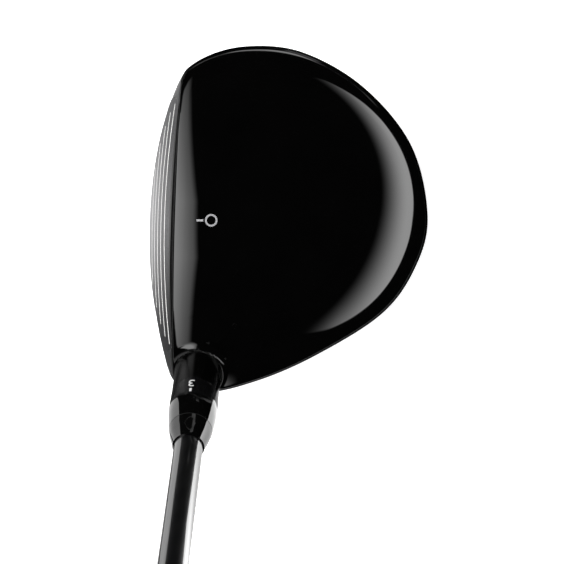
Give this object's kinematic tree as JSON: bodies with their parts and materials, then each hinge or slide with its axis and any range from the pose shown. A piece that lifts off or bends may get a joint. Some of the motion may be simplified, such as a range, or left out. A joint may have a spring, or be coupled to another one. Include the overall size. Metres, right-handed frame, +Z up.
{
  "type": "fairway wood",
  "caption": "Golf fairway wood: hollow steel head with dark crown, indexing hosel sleeve, tapered shaft and rubber grip.",
  "frame": {"origin": "on the ground, at the centre of the flat resting pad of the sole", "axes": "-Y is the target side that the face looks to, +Y the back of the head, -X the toe, +X the heel and the golfer's side, +Z up; the club lies at address, with the shaft rising towards +X"},
  "size_m": [0.6684, 0.0882, 0.9192],
  "materials": {
    "cast_body": "satin steel face frame, black painted skirt and sole",
    "crown_gloss": "mirror gloss black lacquer",
    "face_steel": "fine satin",
    "elastomer": "matt",
    "screw_steel": "satin",
    "nylon": "matt",
    "anodised": "polished black anodised",
    "ferrule_plastic": "polished",
    "shaft_gloss": "clear lacquer over dark graphite",
    "tip_brass": "turned",
    "plug_foam": "foam",
    "tape_paper": "paper tape",
    "grip_rubber": "matt with a moulded grip pattern",
    "glue": "waxy"
  },
  "bodies": {
    "head": {"body": "cast_body", "crown": "crown_gloss", "face_insert": "face_steel", "sole_slot_filler": "elastomer", "hot_melt": "glue"},
    "weight_washer": {"weight_washer": "nylon"},
    "weight": {"weight_screw": "screw_steel"},
    "screw_washer": {"screw_washer": "screw_steel"},
    "screw": {"hosel_screw": "screw_steel", "screw_retainer": "nylon"},
    "ring": {"hosel_ring": "anodised"},
    "shaft": {"sleeve": "anodised", "ferrule": "ferrule_plastic", "shaft": "shaft_gloss", "tip_weight": "tip_brass", "tip_plug": "plug_foam", "grip_tape": "tape_paper", "grip": "grip_rubber", "grip_cap": "grip_rubber"}
  },
  "joints": [
    {"name": "weight_advance", "type": "slide", "parent": "head", "child": "weight_washer", "axis": [0, -0.2367, 0.9716], "range_m": [-0.006, 0]},
    {"name": "weight_turn", "type": "hinge", "parent": "weight_washer", "child": "weight", "pos_m": [-0.002, 0.046, 0.00573], "axis": [0, -0.2367, 0.9716], "range_deg": [-2160, 0]},
    {"name": "hosel_screw_advance", "type": "slide", "parent": "head", "child": "screw_washer", "axis": [0.5446, 0, 0.8387], "range_m": [-0.006, 0]},
    {"name": "hosel_screw_turn", "type": "hinge", "parent": "screw_washer", "child": "screw", "pos_m": [0.0254, -0.0042, 0], "axis": [0.5446, 0, 0.8387], "range_deg": [-2700, 0]},
    {"name": "shaft_pull", "type": "slide", "parent": "head", "child": "ring", "axis": [0.5446, 0, 0.8387], "range_m": [0, 0.045]},
    {"name": "sleeve_turn", "type": "hinge", "parent": "ring", "child": "shaft", "pos_m": [0.0254, -0.0042, 0], "axis": [0.5446, 0, 0.8387], "range_deg": [-180, 180]}
  ],
  "couplings": [
    {"joint": "weight_advance", "follows": "weight_turn", "m_per_rad": 0.00015915},
    {"joint": "hosel_screw_advance", "follows": "hosel_screw_turn", "m_per_rad": 0.00012732}
  ]
}
